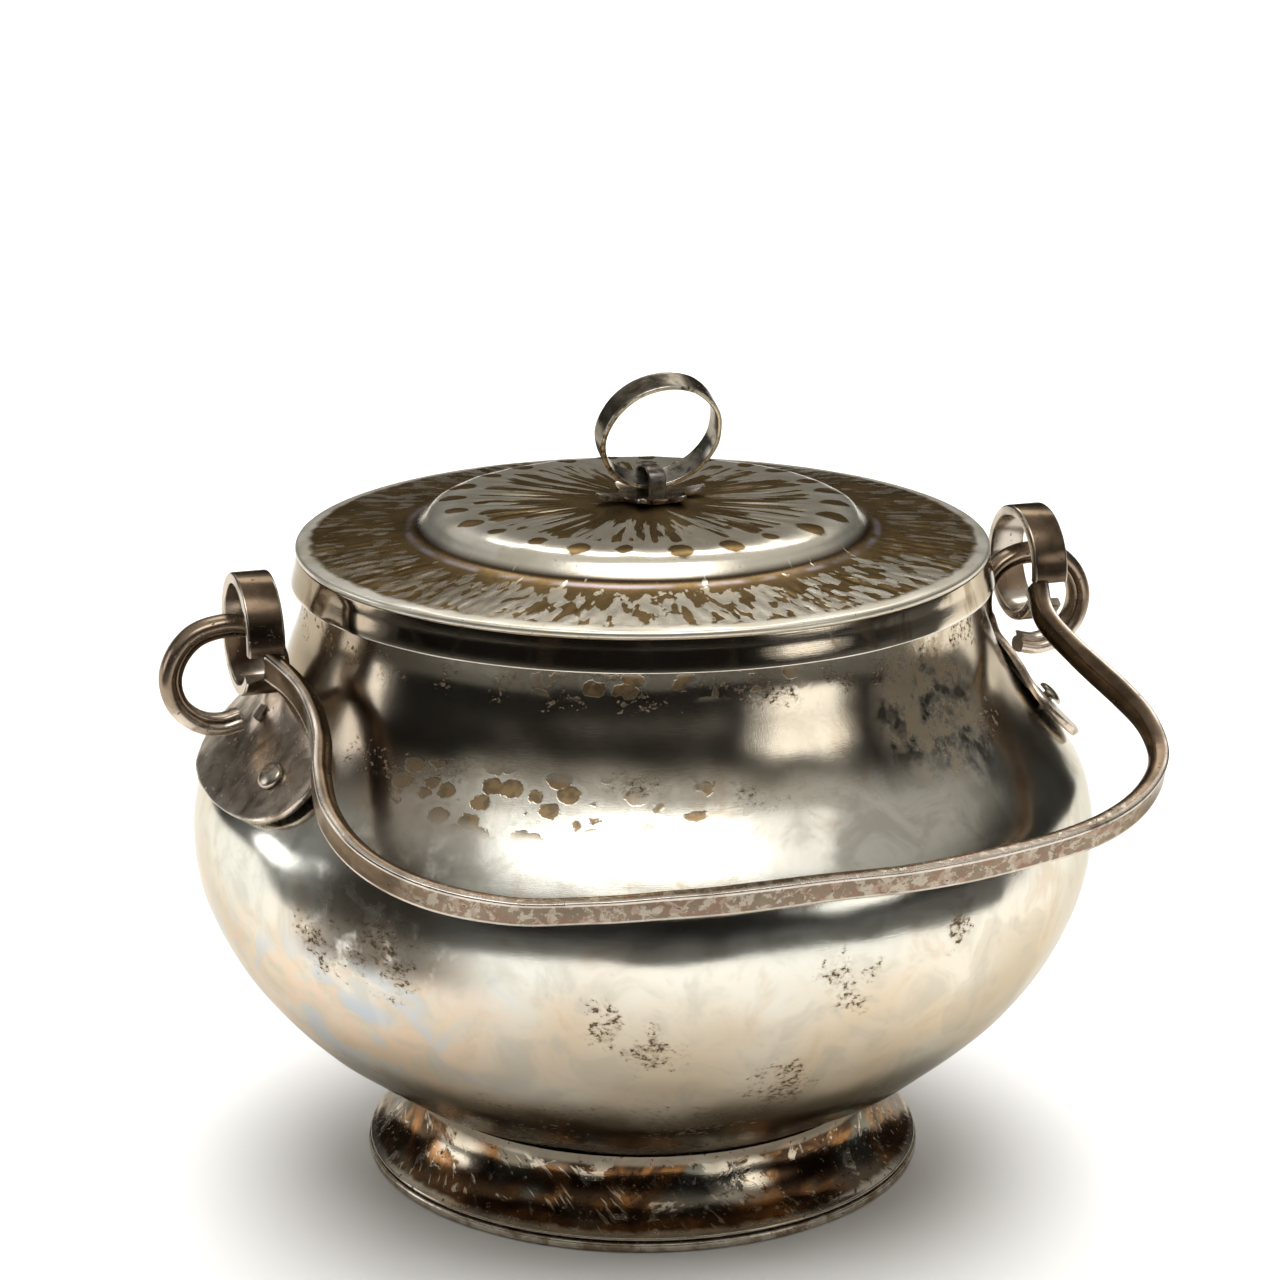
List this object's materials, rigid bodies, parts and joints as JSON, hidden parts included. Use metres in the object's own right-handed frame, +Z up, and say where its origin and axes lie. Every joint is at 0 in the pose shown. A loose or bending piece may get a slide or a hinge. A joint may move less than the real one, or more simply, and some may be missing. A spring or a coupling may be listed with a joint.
{
  "type": "lidded sugar bowl with bail handle",
  "caption": "Covered metal sugar bowl on a flared foot, with a lift-off lid carrying a ring finial and a swinging bail handle.",
  "frame": {"origin": "on the table, under the centre of the foot ring", "axes": "+X runs through the two ears, the bail hangs forward over -Y at rest, +Z is up"},
  "size_m": [0.1298, 0.1214, 0.1079],
  "materials": {
    "bowl_silver": "hand-hammered silver, polished with light tarnish",
    "foot_silver": "hammered silver, brown tarnish",
    "foot_wire_silver": "worn silver edge",
    "ear_silver": "dull tarnished silver",
    "rivet_silver": "dull tarnished silver",
    "lid_silver": "hammered silver with brown tarnish in the low spots",
    "skirt_silver": "polished silver",
    "finial_silver": "dark tarnished silver with bright edges",
    "bail_silver": "brown tarnished silver with worn bright edges"
  },
  "bodies": {
    "bowl": {"bowl_body": "bowl_silver", "foot": "foot_silver", "foot_base_wire": "foot_wire_silver", "ear_right": "ear_silver", "ear_left": "ear_silver", "rivet_right_front": "rivet_silver", "rivet_right_back": "rivet_silver", "rivet_left_front": "rivet_silver", "rivet_left_back": "rivet_silver"},
    "lid": {"lid_plate": "lid_silver", "lid_skirt": "skirt_silver", "finial_rosette": "finial_silver", "finial_staple": "finial_silver"},
    "finial_ring": {"finial_ring": "finial_silver"},
    "bail": {"bail": "bail_silver"}
  },
  "joints": [
    {"name": "lid_lift", "type": "slide", "parent": "bowl", "child": "lid", "axis": [0, 0, 1], "range_m": [0, 0.04]},
    {"name": "finial_ring_tilt", "type": "hinge", "parent": "lid", "child": "finial_ring", "pos_m": [0.0011, 0, 0.0926], "axis": [1, 0, 0], "range_deg": [-47, 0]},
    {"name": "bail_swing", "type": "hinge", "parent": "bowl", "child": "bail", "pos_m": [0, -0.002, 0.0774], "axis": [-1, 0, 0], "range_deg": [0, 216]}
  ]
}
